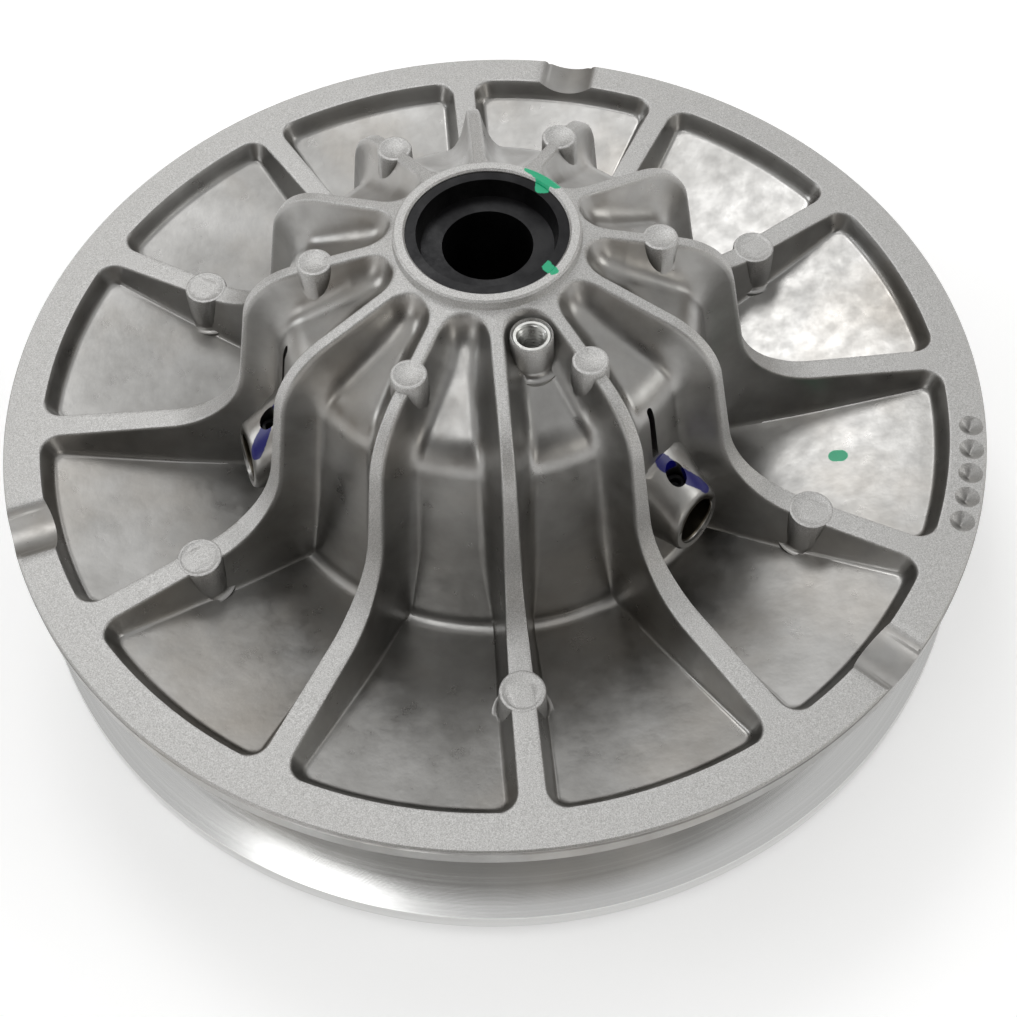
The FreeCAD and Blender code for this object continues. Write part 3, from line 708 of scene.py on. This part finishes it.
def cast_aluminium():
    """Pressure casting: grainy blasted crests and smoother stained pockets."""
    shade = Shade("cast_aluminium_finish", (0.6, 0.6, 0.59), 1.0, 0.4)
    finish = shade.node("ShaderNodeAttribute")
    finish.attribute_name = "crest"
    crest = shade.math("MAXIMUM", finish.outputs["Fac"], 0.0)
    # painted shade: the mask's negative values darken the pin bores
    bore_shade = shade.span(finish.outputs["Fac"], -0.6, 0.0, 1.0, 0.0)
    grain = shade.noise(1500, 3, 0.7)
    speckle = shade.noise(3400, 2, 0.6)
    clouds = shade.noise(42, 5, 0.6)
    flow = shade.noise(150, 4, 0.6)
    pocket = shade.blend(shade.span(clouds, 0.35, 0.7), (0.29, 0.285, 0.275), (0.42, 0.415, 0.405))
    pocket = shade.blend(shade.span(shade.noise(17, 4, 0.6), 0.5, 0.72, 0, 0.4), pocket, (0.36, 0.32, 0.27))
    blasted = shade.blend(shade.span(speckle, 0.32, 0.68), (0.40, 0.395, 0.385), (0.66, 0.655, 0.645))
    # painted shade: a dark brown mixed in over the pin bores
    colour = shade.blend(bore_shade, shade.blend(crest, pocket, blasted), (0.07, 0.06, 0.045))
    rough_pocket = shade.span(flow, 0.3, 0.75, 0.26, 0.42)
    rough_crest = shade.span(grain, 0.3, 0.7, 0.46, 0.62)
    roughness = shade.math("MULTIPLY_ADD", crest, shade.math("SUBTRACT", rough_crest, rough_pocket), rough_pocket)
    greens = [shade.stroke(start, end, size, 0.9) for start, end, size in HUB_GREEN]
    greens.append(shade.stroke(polar(102.9, 346.5, -12.3), polar(104.5, 346.5, -12.1), 1.9, 0.3))
    blues = []
    for azimuth in (195, 315):
        turn = Matrix.Rotation(math.radians(azimuth), 3, "Z")
        blues += [shade.stroke(turn @ Vector(start), turn @ Vector(end), size, 0.6)
                  for start, end, size in PIN_BLUE]
    green, blue = shade.most(greens), shade.most(blues)
    paint = shade.math("MAXIMUM", green, blue)
    colour = shade.blend(green, colour, GREEN)
    colour = shade.blend(blue, colour, BLUE)
    roughness = shade.math("MULTIPLY_ADD", paint, shade.math("SUBTRACT", 0.3, roughness), roughness)
    shade.put(shade.shader, "Base Color", colour)
    shade.put(shade.shader, "Roughness", roughness)
    shade.put(shade.shader, "Metallic", shade.math("SUBTRACT", 1.0, paint))
    height = shade.math("MULTIPLY_ADD", crest, shade.math("MULTIPLY", grain, 1.0), shade.math(
        "MULTIPLY", shade.math("SUBTRACT", 1.0, crest), shade.math("MULTIPLY", flow, 0.5)))
    normal = shade.bump(height, 0.00022, 0.55)
    shade.put(shade.shader, "Normal", normal)
    return shade.material


def turned_aluminium():
    """Fine-turned aluminium: concentric tool marks about the pulley axis."""
    shade = Shade("turned_aluminium_finish", (0.66, 0.66, 0.655), 1.0, 0.22)
    radius = shade.axis_radius()
    ripple = shade.math("SINE", shade.math("MULTIPLY", radius, 2 * math.pi / 0.00035))
    rings = shade.node("ShaderNodeCombineXYZ", X=shade.math("MULTIPLY", radius, 1.0))
    band = shade.noise(900, 4, 0.7, rings.outputs[0])
    shade.put(shade.shader, "Base Color",
              shade.blend(shade.span(band, 0.3, 0.7), (0.56, 0.56, 0.555), (0.72, 0.72, 0.71)))
    shade.put(shade.shader, "Roughness", shade.span(band, 0.3, 0.7, 0.12, 0.22))
    height = shade.math("ADD", shade.math("MULTIPLY", ripple, 0.3), band)
    shade.put(shade.shader, "Normal", shade.bump(height, 0.00002, 0.35))
    return shade.material


def grained(name, colour, dark, metallic, rough_low, rough_high, scale, depth, paint_hub=False):
    """A plain material with mottled colour, uneven gloss and a fine surface grain."""
    shade = Shade(name, colour, metallic, rough_low)
    cloud, grain = shade.noise(scale / 9, 4), shade.noise(scale, 3, 0.65)
    tone = shade.blend(shade.span(cloud, 0.35, 0.68), dark, colour)
    rough = shade.span(grain, 0.3, 0.7, rough_low, rough_high)
    if paint_hub:
        tone, rough, mask = painted(shade, tone, rough, HUB_GREEN, GREEN)
        shade.put(shade.shader, "Metallic", shade.math("MULTIPLY", shade.math("SUBTRACT", 1.0, mask), metallic))
    shade.put(shade.shader, "Base Color", tone)
    shade.put(shade.shader, "Roughness", rough)
    shade.put(shade.shader, "Normal", shade.bump(grain, depth, 0.5))
    return shade.material


def spring_steel():
    """Powder-coated spring wire."""
    return grained("spring_steel_finish", (0.05, 0.05, 0.055), (0.03, 0.03, 0.033), 0.0, 0.32, 0.5,
                   700, 0.00012)


def zinc_steel():
    """Zinc-plated steel."""
    return grained("zinc_steel_finish", (0.62, 0.62, 0.6), (0.46, 0.46, 0.44), 1.0, 0.24, 0.4, 900, 0.00005)


def make_pin_screws():
    """Socket set screws over the roller pins, sunk in their bores."""
    for number, azimuth in enumerate(ROLLER_AZIMUTHS, 1):
        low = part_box(f"pin_screw_{number}")[0][2] / MM - RIM_TOP
        outline = [(0, low), (2.9, low), (2.9, 14.0), (2.5, 14.4), (1.7, 14.4), (1.5, 14.2),
                   (1.5, 12.2), (0, 11.9)]
        screw = joined(f"set_screw_{number}", [placed(lathe(outline, 40), standing(SET_SCREW_ORBIT, azimuth))], RIM_TOP)
        smooth(screw, 30)
        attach(screw, "outer_half")
        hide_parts(f"pin_screw_{number}")
        finish_with(screw, grained(f"set_screw_black_{number}", (0.03, 0.03, 0.032), (0.014, 0.014, 0.015), 0.85,
                                   0.3, 0.48, 900, 0.00006))


def dress_cad_nodes():
    """Materials for the pieces that keep their CAD shape."""
    black = grained("black_oxide", (0.03, 0.03, 0.032), (0.014, 0.014, 0.015), 0.85, 0.3, 0.48, 900, 0.00006)
    post = grained("black_oxide_post", (0.03, 0.03, 0.031), (0.013, 0.013, 0.014), 0.85, 0.28, 0.46,
                   900, 0.00006, True)
    finishes = {
        "cast_aluminium": zinc_steel(),
        "hard_coat_aluminium": grained(
            "hard_coat", (0.13, 0.13, 0.12), (0.08, 0.08, 0.075), 0.6, 0.4, 0.6, 800, 0.0001),
        "black_steel": black,
        "zinc_steel": zinc_steel(),
        # the bright steel slot gets a darkened, brownish grey
        "bright_steel": grained(
            "darkened_steel", (0.36, 0.35, 0.33), (0.2, 0.19, 0.17), 1.0, 0.2, 0.36, 1200, 0.00003),
        "bronze": grained(
            "bronze_bush", (0.5, 0.33, 0.16), (0.34, 0.22, 0.1), 1.0, 0.3, 0.5, 800, 0.00005),
        "polymer": grained(
            "bearing_polymer", (0.09, 0.085, 0.08), (0.05, 0.048, 0.045), 0.0, 0.42, 0.6, 600, 0.00008),
        "seal_rubber": grained(
            "seal_rubber", (0.025, 0.025, 0.025), (0.015, 0.015, 0.015), 0.0, 0.55, 0.72, 700, 0.0001),
    }
    slots = {part["node"]: part["material_slot"] for part in frame["record"]["subparts"]}
    for node, obj in frame["nodes"].items():
        finish = post if node == "centre_post" else finishes.get(slots[node])
        if finish is None or node in ("outer_sheave", "inner_sheave"):
            continue
        finish_with(obj, finish)


# --- stage ----------------------------------------------------------------------------------

def make_floor():
    """A plain pale floor."""
    size = 4.0
    mesh = bpy.data.meshes.new("floor")
    corners = [(-size, -size, 0), (size, -size, 0), (size, size, 0), (-size, size, 0)]
    mesh.from_pydata(corners, [], [[0, 1, 2, 3]])
    floor = bpy.data.objects.new("floor", mesh)
    bpy.context.scene.collection.objects.link(floor)
    shade = Shade("pale_floor", (0.93, 0.93, 0.93), 0.0, 0.8)
    tone = shade.blend(shade.noise(3, 2), (0.92, 0.92, 0.92), (0.95, 0.95, 0.95))
    shade.put(shade.shader, "Base Color", tone)
    shade.shader.inputs["Emission Color"].default_value = (1, 1, 1, 1)
    shade.shader.inputs["Emission Strength"].default_value = 0.3
    mesh.materials.append(shade.material)


def add_light(name, place, target, size, power, colour=(1, 1, 1)):
    """A soft rectangular light aimed at a point."""
    data = bpy.data.lights.new(name, "AREA")
    data.shape = "RECTANGLE"
    data.size, data.size_y = size
    data.energy = power
    data.color = colour
    light = bpy.data.objects.new(name, data)
    light.location = place
    light.rotation_euler = (Vector(target) - Vector(place)).to_track_quat("-Z", "Y").to_euler()
    bpy.context.scene.collection.objects.link(light)


# windows and one dark patch: azimuth, elevation, angular radius, soft edge (degrees), colour
PATCHES = (
    (268, 38, 14, 24, (0.10, 0.095, 0.09)),
    (60, 20, 9, 12, (1.2, 1.2, 1.2)),
    (168, 20, 10, 5, (2.8, 2.85, 2.9)),
    (222, 12, 7, 4, (2.4, 2.4, 2.4)),
    (352, 20, 9, 5, (2.6, 2.6, 2.55)),
    (306, 12, 6, 4, (2.0, 1.95, 1.85)),
    (190, 73, 5, 3, (3.2, 3.2, 3.2)),
    (236, 65, 6, 4, (3.2, 3.2, 3.2)),
)


def make_world():
    """A graded room with bright windows and one dark patch, for the metal to mirror."""
    world = bpy.data.worlds.new("surround")
    world.use_nodes = True
    tree = world.node_tree
    link = tree.links.new
    coords = tree.nodes.new("ShaderNodeTexCoord")
    split = tree.nodes.new("ShaderNodeSeparateXYZ")
    link(coords.outputs["Generated"], split.inputs[0])
    sky = tree.nodes.new("ShaderNodeValToRGB")
    link(split.outputs[2], sky.inputs[0])
    stops = sky.color_ramp.elements
    stops[0].position, stops[0].color = 0.0, (0.36, 0.33, 0.30, 1)
    stops[1].position, stops[1].color = 1.0, (0.74, 0.74, 0.74, 1)
    for position, colour in ((0.14, (0.24, 0.215, 0.19, 1)), (0.36, (0.40, 0.39, 0.375, 1)),
                             (0.7, (0.68, 0.68, 0.675, 1))):
        stops.new(position).color = colour
    total = sky.outputs[0]
    for azimuth, elevation, reach, edge, colour in PATCHES:
        turn, tilt = math.radians(azimuth), math.radians(elevation)
        dot = tree.nodes.new("ShaderNodeVectorMath")
        dot.operation = "DOT_PRODUCT"
        link(coords.outputs["Generated"], dot.inputs[0])
        dot.inputs[1].default_value = (math.cos(turn) * math.cos(tilt), math.sin(turn) * math.cos(tilt),
                                       math.sin(tilt))
        span = tree.nodes.new("ShaderNodeMapRange")
        span.interpolation_type = "SMOOTHSTEP"
        link(dot.outputs["Value"], span.inputs["Value"])
        span.inputs["From Min"].default_value = math.cos(math.radians(reach + edge))
        span.inputs["From Max"].default_value = math.cos(math.radians(reach))
        mix = tree.nodes.new("ShaderNodeMix")
        mix.data_type = "RGBA"
        link(span.outputs[0], mix.inputs[0])
        link(total, mix.inputs[6])
        mix.inputs[7].default_value = (*colour, 1)
        total = mix.outputs[2]
    background = tree.nodes["Background"]
    link(total, background.inputs[0])
    bpy.context.scene.world = world


def make_lights():
    """Soft studio light: the room and one soft lamp high behind the pulley."""
    add_light("ceiling_lamp", (-0.215, 0.703, 1.20), (0, 0, 0.06), (0.42, 0.36), 2.6)
    make_world()
    bpy.context.scene.view_settings.view_transform = "Standard"


def make_camera():
    """The camera at the reference view: high, close and in line with the front of the disc."""
    distance, elevation, azimuth = 0.49702, math.radians(52.5), 267.35
    aim = Euler((math.radians(-4.01), math.radians(-0.52), math.radians(-2.22)), "XYZ").to_matrix()
    offset = Vector((0, -distance * math.cos(elevation), distance * math.sin(elevation)))
    ahead = -offset.normalized()
    right = Vector((1, 0, 0))
    up = right.cross(ahead)
    level = Matrix((right, up, -ahead)).transposed()
    turn = Matrix.Rotation(math.radians(azimuth - 270), 3, "Z")
    data = bpy.data.cameras.new("camera")
    data.sensor_width = 36.0
    data.lens = 58.92
    data.clip_start = 0.01
    camera = bpy.data.objects.new("camera", data)
    place = turn @ offset + Vector((0, 0, RIM_TOP * MM))
    camera.matrix_world = Matrix.Translation(place) @ (turn @ level @ aim).to_4x4()
    bpy.context.scene.collection.objects.link(camera)
    bpy.context.scene.camera = camera


make_camera()
make_outer_sheave()
make_inner_sheave()
make_spring()
make_opener_insert()
make_pin_screws()
dress_cad_nodes()
make_floor()
make_lights()
